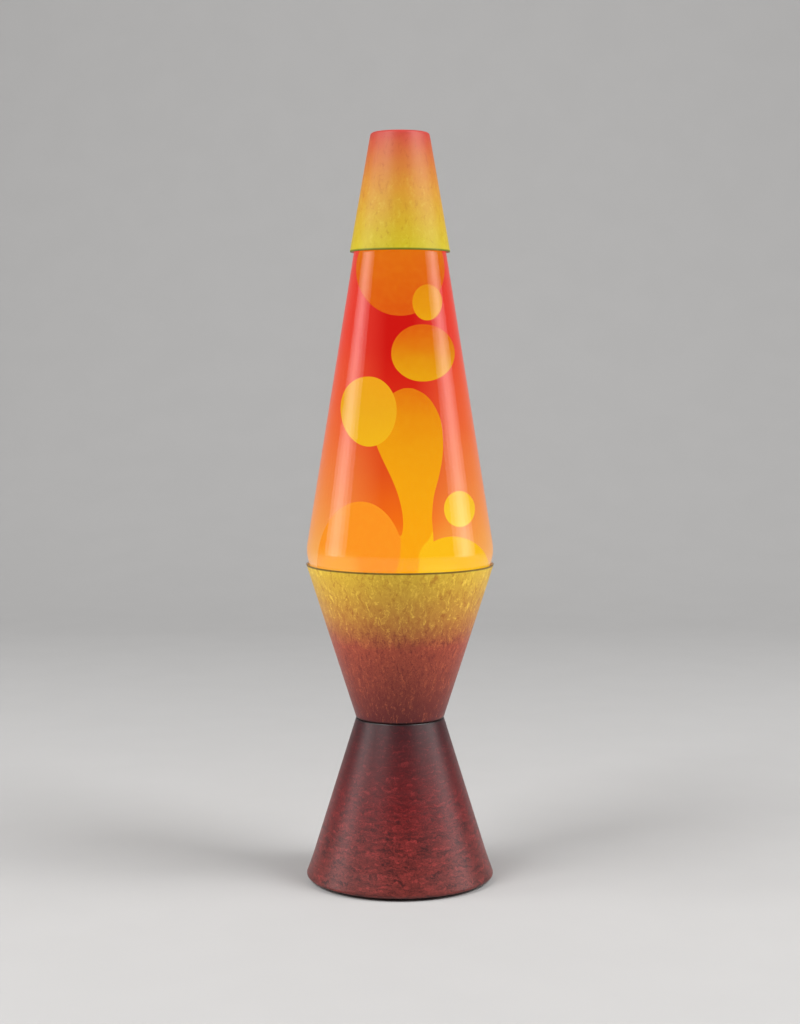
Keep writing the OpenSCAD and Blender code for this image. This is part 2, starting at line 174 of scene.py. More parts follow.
class Graph:
    def __init__(self, name):
        self.mat = bpy.data.materials.new(name)
        self.mat.use_nodes = True
        self.tree = self.mat.node_tree
        self.tree.nodes.clear()
        self.out = self.tree.nodes.new("ShaderNodeOutputMaterial")
        self.coord = None

    def put(self, socket, value):
        if isinstance(value, bpy.types.NodeSocket):
            self.tree.links.new(value, socket)
        elif value is not None:
            socket.default_value = value

    def node(self, kind, **props):
        n = self.tree.nodes.new("ShaderNode" + kind)
        for k, v in props.items():
            setattr(n, k, v)
        return n

    def math(self, op, a, b=None, c=None, clamp=False):
        n = self.node("Math", operation=op, use_clamp=clamp)
        for i, v in enumerate((a, b, c)):
            if v is not None:
                self.put(n.inputs[i], v)
        return n.outputs[0]

    def vmath(self, op, a, b=None, scale=None):
        n = self.node("VectorMath", operation=op)
        self.put(n.inputs[0], a)
        if b is not None:
            self.put(n.inputs[1], b)
        if scale is not None:
            self.put(n.inputs[3], scale)
        return n.outputs[1] if op in ("LENGTH", "DISTANCE", "DOT_PRODUCT") else n.outputs[0]

    def mix(self, fac, a, b, blend="MIX"):
        n = self.node("Mix", data_type="RGBA", blend_type=blend)
        self.put(n.inputs[0], fac)
        self.put(n.inputs[6], a)
        self.put(n.inputs[7], b)
        return n.outputs[2]

    def remap(self, v, a, b, c=0.0, d=1.0, kind="SMOOTHSTEP"):
        n = self.node("MapRange", interpolation_type=kind)
        for i, x in enumerate((v, a, b, c, d)):
            self.put(n.inputs[i], x)
        return n.outputs[0]

    def ramp(self, v, stops, kind="LINEAR"):
        """stops: (position 0..1, display colour) pairs."""
        n = self.node("ValToRGB")
        self.put(n.inputs[0], v)
        el = n.color_ramp.elements
        n.color_ramp.interpolation = kind
        stops = sorted(stops)
        el[0].position, el[0].color = stops[0][0], lin(stops[0][1])
        el[1].position, el[1].color = stops[-1][0], lin(stops[-1][1])
        for p, c in stops[1:-1]:
            e = el.new(p)
            e.color = lin(c)
        return n.outputs[0]

    def curve(self, v, points, lo, hi):
        """A height read from points (position 0..1, value between lo and hi), straight between them."""
        n = self.node("ValToRGB")
        self.put(n.inputs[0], v)
        el = n.color_ramp.elements
        points = sorted(points)
        g = lambda y: ((y - lo) / (hi - lo),) * 3 + (1.0,)
        el[0].position, el[0].color = points[0][0], g(points[0][1])
        el[1].position, el[1].color = points[-1][0], g(points[-1][1])
        for p, y in points[1:-1]:
            e = el.new(p)
            e.color = g(y)
        return self.math("MULTIPLY_ADD", n.outputs[0], hi - lo, lo)

    def object_mm(self):
        """Where the surface is on the lamp, in millimetres."""
        if self.coord is None:
            n = self.node("TexCoord")
            self.coord = self.vmath("SCALE", n.outputs["Object"], scale=1000.0)
        return self.coord

    def noise(self, vec, scale, detail=3.0, rough=0.5, distort=0.0, colour=False):
        n = self.node("TexNoise")
        self.put(n.inputs["Vector"], vec)
        n.inputs["Scale"].default_value = scale
        n.inputs["Detail"].default_value = detail
        n.inputs["Roughness"].default_value = rough
        n.inputs["Distortion"].default_value = distort
        return n.outputs[1 if colour else 0]

    def stretch(self, vec, s):
        n = self.node("Mapping")
        self.put(n.inputs[0], vec)
        n.inputs[3].default_value = s
        return n.outputs[0]

    def bump(self, height, strength, distance, normal=None):
        n = self.node("Bump")
        n.inputs["Strength"].default_value = strength
        n.inputs["Distance"].default_value = distance
        self.put(n.inputs["Height"], height)
        if normal is not None:
            self.put(n.inputs["Normal"], normal)
        return n.outputs[0]

    def principled(self, **values):
        n = self.node("BsdfPrincipled")
        for k, v in values.items():
            self.put(n.inputs[k.replace("_", " ")], v)
        return n

    def finish(self, shader, volume=None):
        self.tree.links.new(shader, self.out.inputs[0])
        if volume is not None:
            self.tree.links.new(volume, self.out.inputs[1])
        return self.mat


# ---------------------------------------------------------------- the frame's sizes, as in the part

LAMP_H, RIM_Z, RIM_R, TOP_R = 368.0, 310.3, 24.55, 14.3
G_REF, G_TAPER, G_WALL = 22.98, 0.163, 2.5
CUP_Z, CUP_R, WAIST_Z, WAIST_R = 157.8, 46.35, 81.2, 21.75
CUP_K = (CUP_R - WAIST_R) / (CUP_Z - WAIST_Z)
BASE_WALL = 0.8

# ---------------------------------------------------------------- the printed wraps

def print_coords(g, mean_r, coarse, fine, drop, turn):
    """The picture's own coordinates in millimetres: x along the wrap from the front, y up.
    Both sides meet at the back. The warp makes every mark's outline uneven."""
    p = g.object_mm()
    s = g.node("SeparateXYZ")
    g.put(s.inputs[0], p)
    x, y, z = s.outputs[0], s.outputs[1], s.outputs[2]
    r = g.math("SQRT", g.math("ADD", g.math("MULTIPLY", x, x), g.math("MULTIPLY", y, y)))
    a = g.math("ARCSINE", g.math("DIVIDE", x, g.math("MAXIMUM", r, 0.001)))
    # the picture runs lower and further round on the far side, and more unevenly, so it isn't a plain mirror image
    far = g.remap(g.math("DIVIDE", y, g.math("MAXIMUM", r, 0.001)), -0.12, 0.75)
    c = g.node("CombineXYZ")
    g.put(c.inputs[0], g.math("MULTIPLY_ADD", a, mean_r, g.math("MULTIPLY", far, turn)))
    g.put(c.inputs[1], g.math("MULTIPLY_ADD", far, drop, z))
    flat = c.outputs[0]
    n1 = g.vmath("SUBTRACT", g.noise(p, 0.16, 2.0, 0.5, colour=True), (0.5, 0.5, 0.5))
    n2 = g.vmath("SUBTRACT", g.noise(p, 0.75, 4.0, 0.65, colour=True), (0.5, 0.5, 0.5))
    soft = g.vmath("ADD", flat, g.vmath("SCALE", n1, scale=g.math("MULTIPLY_ADD", far, coarse * 2.0, coarse)))
    rough = g.vmath("ADD", soft, g.vmath("SCALE", n2, scale=fine))
    return p, z, flat, soft, rough


def spot(g, where, az, z, hw, hh, tilt, inner, outer, value, mean_r, x=0.0):
    """value inside a tilted oval round a place in the picture, fading to nothing outside it."""
    d = g.vmath("SUBTRACT", where, (math.radians(az) * mean_r + x, z, 0))
    c, s = math.cos(math.radians(tilt)), math.sin(math.radians(tilt))
    u = g.vmath("DOT_PRODUCT", d, (c / hw, s / hw, 0))
    v = g.vmath("DOT_PRODUCT", d, (-s / hh, c / hh, 0))
    q = g.math("MULTIPLY_ADD", u, u, g.math("MULTIPLY", v, v))
    return g.remap(q, inner * inner, outer * outer, value, 0.0)


def print_finish(g, colour, tone, rough=0.42, coat=0.12):
    """Satin printed film on spun metal."""
    p = g.object_mm()
    dots = g.noise(p, 9.0, 1.0, 0.5)
    colour = g.mix(g.remap(dots, 0.35, 0.65, 0.0, 0.10), colour, (0, 0, 0, 1))
    n = g.node("Mix", data_type="RGBA", blend_type="MULTIPLY", clamp_result=True)
    n.inputs[0].default_value = 1.0
    g.put(n.inputs[6], colour)
    n.inputs[7].default_value = (tone, tone, tone, 1)
    colour = n.outputs[2]
    spin = g.noise(g.stretch(p, (0.02, 0.02, 1.0)), 0.8, 2.0, 0.5)
    grain = g.noise(p, 2.4, 3.0, 0.6)
    r = g.math("ADD", g.remap(grain, 0.3, 0.7, rough - 0.05, rough + 0.06), g.remap(spin, 0.3, 0.7, -0.02, 0.02))
    h = g.math("ADD", g.math("MULTIPLY", grain, 0.5), spin)
    b = g.principled(Base_Color=colour, Roughness=r, Specular_IOR_Level=0.3, Coat_Weight=coat,
                     Coat_Roughness=0.3, Normal=g.bump(h, 0.18, 0.00006))
    return g.finish(b.outputs[0])


def cap_print():
    g = Graph("cap_print")
    mean = 19.5
    p, z, flat, soft, rough = print_coords(g, mean, 6.0, 1.8, 7.0, 9.0)
    sep = g.node("SeparateXYZ")
    g.put(sep.inputs[0], soft)
    t = g.remap(sep.outputs[1], 310.0, 368.0, kind="LINEAR")
    c = g.ramp(t, [(0.0, (226, 206, 34)), (0.5, (230, 160, 48)), (1.0, (216, 70, 62))])
    # smoke and light drawn out along the height
    long = g.noise(g.stretch(rough, (0.55, 0.14, 1.0)), 1.0, 3.0, 0.6)
    below = g.remap(sep.outputs[1], 352.0, 340.0)
    c = g.mix(g.math("MULTIPLY", below, g.remap(long, 0.52, 0.75, 0.0, 0.28)), c, lin((250, 214, 90)), "SCREEN")
    c = g.mix(g.remap(long, 0.46, 0.25, 0.0, 0.30), c, lin((190, 110, 30)), "MULTIPLY")
    c = g.mix(g.remap(z, 366.8, 367.7), c, lin((216, 72, 62)))
    rim = g.remap(z, 310.9, 311.5, 1.0, 0.0)
    c = g.mix(g.math("MULTIPLY", rim, 0.85), c, lin((96, 118, 20)))
    return print_finish(g, c, 0.72, 0.44, 0.0)


def cup_print():
    g = Graph("cup_print")
    mean = 34.0
    p, z, flat, soft, rough = print_coords(g, mean, 6.0, 2.6, 9.0, -16.0)
    sep = g.node("SeparateXYZ")
    g.put(sep.inputs[0], soft)
    sx, sz = sep.outputs[0], sep.outputs[1]
    t = g.remap(sz, 81.0, 158.0, kind="LINEAR")
    c = g.ramp(t, [(0.0, (90, 28, 30)), (0.5, (160, 70, 48)), (1.0, (210, 172, 46))])
    flame = g.noise(g.stretch(rough, (0.75, 0.16, 1.0)), 1.0, 4.0, 0.65, 0.6)
    high = g.remap(sz, 118.0, 136.0)
    c = g.mix(g.math("MULTIPLY", high, g.remap(flame, 0.52, 0.68, 0.0, 0.45)), c, lin((255, 206, 70)), "SCREEN")
    c = g.mix(g.math("MULTIPLY", high, g.remap(flame, 0.48, 0.32, 0.0, 0.50)), c, lin((196, 104, 44)), "MULTIPLY")
    # a darker grain lower down
    smoke = g.remap(sz, 134.0, 122.0)
    grain = g.noise(p, 1.7, 5.0, 0.75)
    c = g.mix(g.math("MULTIPLY", smoke, g.remap(flame, 0.50, 0.36, 0.0, 0.6)), c, lin((104, 32, 28)))
    c = g.mix(g.math("MULTIPLY", smoke, g.remap(flame, 0.54, 0.68, 0.0, 0.35)), c, lin((220, 110, 64)), "SCREEN")
    c = g.mix(g.math("MULTIPLY", smoke, g.remap(grain, 0.49, 0.38, 0.0, 0.5)), c, lin((74, 20, 22)))
    rim = g.remap(z, 156.7, 157.2)
    c = g.mix(g.math("MULTIPLY", rim, 0.8), c, lin((60, 44, 14)))
    # painted shade: a dark line along the waist seam's groove, on top of its real rounding
    seam_shade = g.remap(z, 82.2, 81.8)
    c = g.mix(g.math("MULTIPLY", seam_shade, 0.7), c, lin((16, 4, 6)))
    return print_finish(g, c, 1.16, 0.42, 0.05)


def foot_print():
    g = Graph("foot_print")
    mean = 33.0
    p, z, flat, soft, rough = print_coords(g, mean, 5.0, 2.4, 9.0, -16.0)
    sep = g.node("SeparateXYZ")
    g.put(sep.inputs[0], soft)
    sx, sz = sep.outputs[0], sep.outputs[1]
    t = g.remap(sz, 0.0, 81.0, kind="LINEAR")
    c = g.ramp(t, [(0.0, (126, 50, 44)), (0.5, (116, 24, 26)), (1.0, (60, 18, 24))])
    # a mottled grain, stronger towards the foot
    ground = g.remap(sz, 84.0, 20.0, 0.3, 1.0)
    near = g.noise(g.stretch(rough, (0.13, 0.62, 1.0)), 1.0, 6.0, 0.70, 0.4)
    c = g.mix(g.math("MULTIPLY", ground, g.remap(near, 0.52, 0.36, 0.0, 0.78)), c, lin((48, 8, 12)))
    c = g.mix(g.math("MULTIPLY", ground, g.remap(near, 0.52, 0.68, 0.0, 0.45)), c, lin((210, 66, 66)), "SCREEN")
    speck = g.noise(g.stretch(p, (0.7, 0.7, 1.3)), 1.3, 6.0, 0.8)
    c = g.mix(g.math("MULTIPLY", ground, g.remap(speck, 0.48, 0.36, 0.0, 0.6)), c, lin((40, 8, 12)))
    c = g.mix(g.math("MULTIPLY", ground, g.remap(speck, 0.57, 0.68, 0.0, 0.3)), c, lin((230, 92, 84)), "SCREEN")
    # painted shade: a dark line along the waist seam's groove, on top of its real rounding
    seam_shade = g.remap(z, 80.3, 80.7)
    c = g.mix(g.math("MULTIPLY", seam_shade, 0.85), c, lin((14, 4, 6)))
    return print_finish(g, c, 0.74, 0.40, 0.15)


# ---------------------------------------------------------------- plain materials


def metal(name, rgb, rough=0.3, brushed=(1.0, 1.0, 1.0), wear=0.25, metallic=1.0, tarnish=None, scale=1.5):
    g = Graph(name)
    p = g.object_mm()
    big = g.noise(p, 0.25, 3.0, 0.6)
    fine = g.noise(g.stretch(p, brushed), scale, 4.0, 0.65)
    dark = tarnish or tuple(v * 0.72 for v in rgb)
    c = g.mix(g.remap(big, 0.35, 0.7, 0.0, wear), lin(rgb), lin(dark))
    c = g.mix(g.remap(fine, 0.4, 0.65, 0.0, wear * 0.6), c, lin(dark))
    r = g.remap(fine, 0.3, 0.7, max(0.05, rough - 0.07), rough + 0.1)
    b = g.principled(Base_Color=c, Metallic=metallic, Roughness=r, Normal=g.bump(fine, 0.12, 0.00005))
    return g.finish(b.outputs[0])


def plastic(name, rgb, rough=0.45, grain=4.0, bump=0.25, coat=0.0, coat_rough=0.1, spec=0.5, spread=0.25):
    g = Graph(name)
    p = g.object_mm()
    big = g.noise(p, 0.2, 2.0, 0.5)
    fine = g.noise(p, grain, 3.0, 0.6)
    c = g.mix(g.remap(big, 0.3, 0.7, 0.0, spread), lin(rgb), lin(tuple(v * 0.7 + 4 for v in rgb)))
    c = g.mix(g.remap(fine, 0.45, 0.7, 0.0, spread * 0.6), c, lin(tuple(min(255, v * 1.25 + 8) for v in rgb)))
    r = g.remap(fine, 0.3, 0.7, rough - 0.06, rough + 0.08)
    b = g.principled(Base_Color=c, Roughness=r, Specular_IOR_Level=spec, Coat_Weight=coat, Coat_Roughness=coat_rough,
                     Normal=g.bump(fine, bump, 0.00005))
    return g.finish(b.outputs[0])


# where the liquid wets it, the wall is drawn thin: liquid and glass bend light alike, so the liquid seems to fill the glass
THIN, THIN_LO, THIN_HI = 0.35, 135.5, 326.0


def clear_glass(name, rgb, rough=0.01, absorb=None, density=0.0, tint=(1, 1, 1, 1), wetted=False):
    """Glass. With wetted, only the outside face reflects where the liquid wets the wall; the mesh marks its inside."""
    g = Graph(name)
    p = g.object_mm()
    wave = g.noise(p, 0.06, 2.0, 0.4)
    b = g.principled(Base_Color=g.mix(g.remap(wave, 0.3, 0.7, 0.0, 0.04), lin(rgb), lin(tuple(v * 0.97 for v in rgb))),
                     Roughness=g.remap(wave, 0.3, 0.7, rough, rough + 0.015), IOR=1.45, Transmission_Weight=1.0, Specular_Tint=tint,
                     Normal=g.bump(wave, 0.05, 0.0002))
    lp = g.node("LightPath")
    tr = g.node("BsdfTransparent")
    tr.inputs[0].default_value = lin(rgb)
    body = b.outputs[0]
    if wetted:
        through, gloss, film, whole = g.node("BsdfTransparent"), g.node("BsdfAnisotropic"), g.node("MixShader"), g.node("MixShader")
        through.inputs[0].default_value = (1, 1, 1, 1)
        gloss.inputs["Color"].default_value = (1, 1, 1, 1)
        gloss.inputs["Roughness"].default_value = rough + 0.01
        face = g.node("Fresnel")
        face.inputs["IOR"].default_value = 1.45
        inside, geo, s = g.node("Attribute"), g.node("NewGeometry"), g.node("SeparateXYZ")
        inside.attribute_name = "inside"
        g.put(s.inputs[0], p)
        wet = g.math("MULTIPLY", g.remap(s.outputs[2], THIN_LO, THIN_LO + 1.5, kind="LINEAR"),
                     g.remap(s.outputs[2], THIN_HI, THIN_HI + 1.5, 1.0, 0.0, "LINEAR"))
        hidden = g.math("MAXIMUM", inside.outputs["Fac"], geo.outputs["Backfacing"])
        g.put(film.inputs[0], g.math("MULTIPLY", face.outputs[0], g.math("SUBTRACT", 1.0, hidden)))
        g.tree.links.new(through.outputs[0], film.inputs[1])
        g.tree.links.new(gloss.outputs[0], film.inputs[2])
        g.put(whole.inputs[0], wet)
        g.tree.links.new(body, whole.inputs[1])
        g.tree.links.new(film.outputs[0], whole.inputs[2])
        body = whole.outputs[0]
    m = g.node("MixShader")
    g.put(m.inputs[0], lp.outputs["Is Shadow Ray"])
    g.tree.links.new(body, m.inputs[1])
    g.tree.links.new(tr.outputs[0], m.inputs[2])
    vol = None
    if absorb is not None:
        v = g.node("VolumeAbsorption")
        v.inputs[0].default_value = absorb
        v.inputs[1].default_value = density
        vol = v.outputs[0]
    return g.finish(m.outputs[0], vol)


def wax(name, stops, z0, z1, glow=1.07, patches=()):
    """Melted wax with painted glow: its emission stands in for the bulb's light from below, so its colour follows the
    height, with slow uneven patches.
    patches: (x, z, half width, half height, inner edge, display colour, opacity)"""
    g = Graph(name)
    p = g.object_mm()
    slow = g.noise(p, 0.045, 2.0, 0.5)
    fine = g.noise(p, 0.35, 3.0, 0.55)
    s = g.node("SeparateXYZ")
    g.put(s.inputs[0], p)
    zz = g.math("ADD", s.outputs[2], g.remap(slow, 0.3, 0.7, -3.0, 3.0, "LINEAR"))
    c = g.ramp(g.remap(zz, z0, z1, kind="LINEAR"), stops)
    flat = g.node("CombineXYZ")
    g.put(flat.inputs[0], s.outputs[0])
    g.put(flat.inputs[1], zz)
    for x, z, hw, hh, core, rgb, opacity in patches:
        c = g.mix(spot(g, flat.outputs[0], 0, z, hw, hh, 0, core, 1.0, opacity, 1.0, x), c, lin(rgb))
    c = g.mix(g.remap(fine, 0.4, 0.7, 0.0, 0.05), c, lin((255, 190, 40)), "SCREEN")
    # painted glow: the emission, not the lamps, lights the wax, in place of the bulb's light from below
    b = g.principled(Base_Color=g.mix(0.9, c, (0, 0, 0, 1)), Roughness=g.remap(fine, 0.3, 0.7, 0.4, 0.5), Specular_IOR_Level=0.0,
                     Emission_Color=c, Emission_Strength=glow, Normal=g.bump(slow, 0.1, 0.0005))
    mat = g.finish(b.outputs[0])
    mat.cycles.emission_sampling = "NONE"
    return mat


def liquid_look():
    """The red liquid, its glow painted as emission in place of the bulb's light: its near side is a thin glowing haze,
    and its far side is what shows behind the wax.
    """
    g = Graph("liquid_red")
    p = g.object_mm()
    s = g.node("SeparateXYZ")
    g.put(s.inputs[0], p)
    slow = g.noise(p, 0.03, 2.0, 0.5)
    zz = g.math("ADD", s.outputs[2], g.remap(slow, 0.3, 0.7, -4.0, 4.0, "LINEAR"))
    t = g.remap(zz, 149.0, 336.0, kind="LINEAR")
    # (height - 149) / 187
    # painted glow: orange low down by the bulb, deep red higher up
    deep = g.ramp(t, [(0.0, (255, 176, 60)), (0.07, (252, 150, 24)), (0.145, (246, 112, 8)), (0.27, (228, 82, 18)),
                      (0.4, (220, 52, 14)), (0.53, (214, 26, 10)), (0.62, (208, 10, 4)), (1.0, (198, 8, 5))])
    pale = g.ramp(t, [(0.0, (255, 196, 110)), (0.11, (252, 172, 84)), (0.26, (250, 144, 72)), (0.4, (249, 118, 60)),
                      (0.53, (248, 98, 58)), (0.64, (247, 76, 56)), (1.0, (244, 66, 58))])
    # painted light: the far side's glow is made lighter towards both sides, where the bottle is less deep
    out = g.math("DIVIDE", g.math("ABSOLUTE", s.outputs[0]), g.math("MULTIPLY_ADD", s.outputs[2], -G_TAPER, G_REF + RIM_Z * G_TAPER))
    far = g.mix(g.remap(out, 0.22, 0.92, 0.0, 0.85, "LINEAR"), deep, pale)
    near = g.principled(Base_Color=(0.02, 0.001, 0.001, 1), Roughness=0.35, Specular_IOR_Level=0.05, Emission_Color=pale,
                        Emission_Strength=0.12, Sheen_Weight=0.5, Sheen_Roughness=0.5, Sheen_Tint=lin((255, 112, 80)))
    tr = g.node("BsdfTransparent")
    tr.inputs[0].default_value = (1, 1, 1, 1)
    front = g.node("MixShader")
    front.inputs[0].default_value = 0.16
    g.tree.links.new(tr.outputs[0], front.inputs[1])
    g.tree.links.new(near.outputs[0], front.inputs[2])
    back = g.principled(Base_Color=(0.03, 0.002, 0.001, 1), Roughness=0.6, Specular_IOR_Level=0.05, Emission_Color=far, Emission_Strength=1.12)
    geo = g.node("NewGeometry")
    m = g.node("MixShader")
    g.put(m.inputs[0], geo.outputs["Backfacing"])
    g.tree.links.new(front.outputs[0], m.inputs[1])
    g.tree.links.new(back.outputs[0], m.inputs[2])
    mat = g.finish(m.outputs[0])
    mat.cycles.emission_sampling = "NONE"
    return mat


def glowing(name, rgb, strength):
    g = Graph(name)
    n = g.noise(g.object_mm(), 1.2, 2.0, 0.5)
    c = g.mix(g.remap(n, 0.35, 0.65, 0.0, 0.3), lin(rgb), lin(tuple(v * 0.85 for v in rgb)))
    b = g.principled(Base_Color=c, Roughness=0.4, Emission_Color=c, Emission_Strength=strength)
    return g.finish(b.outputs[0])


M = {
    "cap_print": cap_print(),
    "cup_print": cup_print(),
    "foot_print": foot_print(),
    "bare": metal("bare_aluminium", (196, 196, 198), 0.34, (0.05, 0.05, 2.0), 0.2),
    "plate_black": plastic("plate_black", (22, 22, 23), 0.5, 5.0, 0.5),
    "rubber_grey": plastic("rubber_grey", (36, 36, 37), 0.75, 3.0, 0.5),
    "nylon_black": plastic("nylon_black", (16, 16, 17), 0.38, 3.0, 0.15, coat=0.2),
    "porcelain": plastic("porcelain", (232, 227, 212), 0.4, 1.2, 0.2, coat=0.5, coat_rough=0.12, spread=0.12),
    "brass": metal("brass", (214, 172, 92), 0.25, (1, 1, 1), 0.35, tarnish=(150, 104, 50)),
    "nut_steel": metal("nut_steel", (150, 151, 154), 0.36, (1, 1, 1), 0.4),
    "bulb_glass": clear_glass("bulb_glass", (252, 250, 246)),
    "bulb_shell": metal("bulb_shell", (205, 205, 208), 0.22, (0.2, 0.2, 2.0), 0.2),
    "vitrite": plastic("vitrite", (26, 18, 36), 0.15, 1.5, 0.05, coat=0.8, coat_rough=0.05),
    "solder": metal("solder", (168, 168, 170), 0.42, (1, 1, 1), 0.45, scale=2.5),
    "stem_glass": clear_glass("stem_glass", (236, 244, 248), 0.03),
    "wire": metal("wire", (160, 158, 154), 0.3, (1, 1, 1), 0.2),
    "tungsten": glowing("tungsten", (255, 206, 130), 9.0),
    "globe_glass": clear_glass("globe_glass", (255, 252, 250), 0.01, (1.0, 0.5, 0.45, 1), 20.0, (1.0, 0.6, 0.54, 1), wetted=True),
    "liquid_red": liquid_look(),
    "coil_wire": metal("coil_wire", (176, 176, 178), 0.25, (1, 1, 1), 0.2),
    "crown_gold": metal("crown_gold", (206, 172, 84), 0.3, (1, 1, 0.3), 0.3, tarnish=(150, 116, 50)),
    "liner": plastic("liner", (228, 226, 218), 0.55, 2.0, 0.2),
}


def dress(node, *mats):
    """A CAD node keeps its shape and takes a better material."""
    me = N[node].data
    me.materials.clear()
    for m in mats:
        me.materials.append(m)
    me.polygons.foreach_set("material_index", [0] * len(me.polygons))


def stand_for(ob, node, body, slot, *mats):
    for m in mats:
        ob.data.materials.append(m)
    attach(ob, body)
    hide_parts(node)
    return ob


# ---------------------------------------------------------------- radii of the bottle and its seat


def cone_r(z):
    return G_REF + (RIM_Z - z) * G_TAPER


def seat_r(z):
    return WAIST_R + (z - WAIST_Z) * CUP_K - BASE_WALL * math.hypot(1, CUP_K) - 0.4


SHOULDER_Z = (cone_r(0) - seat_r(0)) / (CUP_K + G_TAPER)


def wall_r(z, gap=0.0):
    """Radius of the bottle's inner wall, moved in by gap."""
    a = cone_r(z) - (G_WALL + gap) * math.hypot(1, G_TAPER)
    b = seat_r(z) - (G_WALL + gap) * math.hypot(1, CUP_K)
    # the bend between the two tapers
    k = 3.0
    h = max(0.0, k - abs(a - b)) / k
    return min(a, b) - h * h * k * 0.25


# ---------------------------------------------------------------- cap

def thin_shell(outer, wall, lip):
    """An outer outline and its inner one, moved in by wall."""
    inner = inset(outer, wall)
    return outer, inner


cap_outer = [(RIM_R, RIM_Z, 0), (TOP_R, LAMP_H, 1.6), (0, LAMP_H, 0)]
cap_in = inset(cap_outer, 0.8)
# the free edge is turned in and rounded
k_cap = (RIM_R - TOP_R) / (LAMP_H - RIM_Z)
lip = [(RIM_R - 0.62, RIM_Z), (RIM_R - 0.40, RIM_Z + 0.02), (RIM_R - 0.2, RIM_Z + 0.1), (RIM_R - 0.09, RIM_Z + 0.24), (RIM_R - 0.08, RIM_Z + 0.42)]
outer_pts = lip + rounded([(RIM_R - 0.08, RIM_Z + 0.45, 0)] + cap_outer[1:])
inner_pts = rounded([(RIM_R - 0.83, RIM_Z + 0.25, 0), cap_in[1], cap_in[2]])[::-1]
cap = lathe("cap_shell_look", outer_pts + inner_pts + [(RIM_R - 0.78, RIM_Z + 0.08)], 256, second=len(outer_pts) - 1)
stand_for(cap, "cap_shell", "cap", "cap_print", M["cap_print"], M["bare"])

# ---------------------------------------------------------------- cup

cup_outer = [(12.5, WAIST_Z, 0), (WAIST_R, WAIST_Z, 0.9), (CUP_R, CUP_Z, 0)]
cup_in = inset(cup_outer, BASE_WALL)
wall_h = BASE_WALL * math.hypot(1, CUP_K)
top = [(CUP_R - 0.05, CUP_Z - 0.16), (CUP_R - 0.16, CUP_Z - 0.05), (CUP_R - 0.32, CUP_Z), (CUP_R - 0.52, CUP_Z),
       (CUP_R - 0.68, CUP_Z - 0.05), (CUP_R - wall_h - 0.02, CUP_Z - 0.2)]
o = rounded(cup_outer[:2] + [(CUP_R - 0.05 - 0.3 * CUP_K, CUP_Z - 0.46, 0)])
i = rounded([cup_in[0], cup_in[1], (CUP_R - wall_h - 0.2 * CUP_K, CUP_Z - 0.5, 0)])[::-1]
cup = lathe("upper_cone_look", o + top + i, 256, second=len(o) + 3)
stand_for(cup, "upper_cone", "base", "cup_print", M["cup_print"], M["bare"])

# ---------------------------------------------------------------- foot, with the cord's entry cut through it

foot_outer = [(41.2, 1.5, 0), (43.3 + 10.5 * 0.355, 1.5, 1.3), (43.3, 12, 40), (WAIST_R, WAIST_Z, 0.9), (12.5, WAIST_Z, 0)]
o = rounded(foot_outer)
i = rounded(inset(foot_outer, BASE_WALL))[::-1]
foot = lathe("lower_cone_look", o + i, 256, second=len(o) - 1)
FOOT_K = (43.3 - WAIST_R) / (WAIST_Z - 12)
entry = Vector((0, 43.3 - (14 - 12) * FOOT_K, 14))
away = Vector((0, 1, FOOT_K)).normalized()
cutter_bm = bmesh.new()
bmesh.ops.create_cone(cutter_bm, cap_ends=True, segments=64, radius1=3.8 * MM, radius2=3.8 * MM, depth=8 * MM)
cutter_me = bpy.data.meshes.new("entry_cutter")
cutter_bm.to_mesh(cutter_me)
cutter_bm.free()
cutter = bpy.data.objects.new("entry_cutter", cutter_me)
scene.collection.objects.link(cutter)
cutter.rotation_mode = "QUATERNION"
cutter.rotation_quaternion = away.to_track_quat("Z", "Y")
cutter.location = entry * MM
mod = foot.modifiers.new("entry", "BOOLEAN")
mod.operation = "DIFFERENCE"
mod.solver = "EXACT"
mod.object = cutter
bpy.context.view_layer.update()
dg = bpy.context.evaluated_depsgraph_get()
cut = bpy.data.meshes.new_from_object(foot.evaluated_get(dg))
foot.modifiers.clear()
foot.data = cut
cut.name = "lower_cone_look"
cut.polygons.foreach_set("use_smooth", [True] * len(cut.polygons))
cut.set_sharp_from_angle(angle=math.radians(35))
bpy.data.objects.remove(cutter)
stand_for(foot, "lower_cone", "base", "foot_print")
foot.data.materials.clear()
foot.data.materials.append(M["foot_print"])
foot.data.materials.append(M["bare"])

# ---------------------------------------------------------------- bottle

PUNT_R, PUNT_H, Z0, NECK_Z, LIP_Z, BORE = 28.0, 3.0, 130.0, 344.0, 354.4, 8.0
bottle = [(PUNT_R * k / 6, Z0 + PUNT_H * (1 - (k / 6) ** 2), 0) for k in range(6)] + [(PUNT_R, Z0, 2.0)] + [
    (seat_r(Z0), Z0, 4), (cone_r(SHOULDER_Z), SHOULDER_Z, 18), (cone_r(NECK_Z), NECK_Z, 5), (12.6, NECK_Z + 3.2, 2),
    (12.6, LIP_Z - 4.2, 0.6), (13.3, LIP_Z - 3.4, 0.4), (13.3, LIP_Z, 1.2), (BORE + 0.4, LIP_Z, 0)]
t_len, c_len = math.hypot(1, G_TAPER), math.hypot(1, CUP_K)


def inner_outline(gap):
    """The bottle's inside from the lower wall up to the neck, moved in by gap."""
    corner = inset(bottle, THIN + gap)[8]
    return [(seat_r(THIN_LO - 2) - (G_WALL + gap) * c_len, THIN_LO - 2, 2), (seat_r(THIN_LO + 1.5) - (THIN + gap) * c_len, THIN_LO + 1.5, 2),
            corner, (cone_r(THIN_HI) - (THIN + gap) * t_len, THIN_HI, 4), (cone_r(THIN_HI + 7) - (G_WALL + gap) * t_len, THIN_HI + 7, 4)]


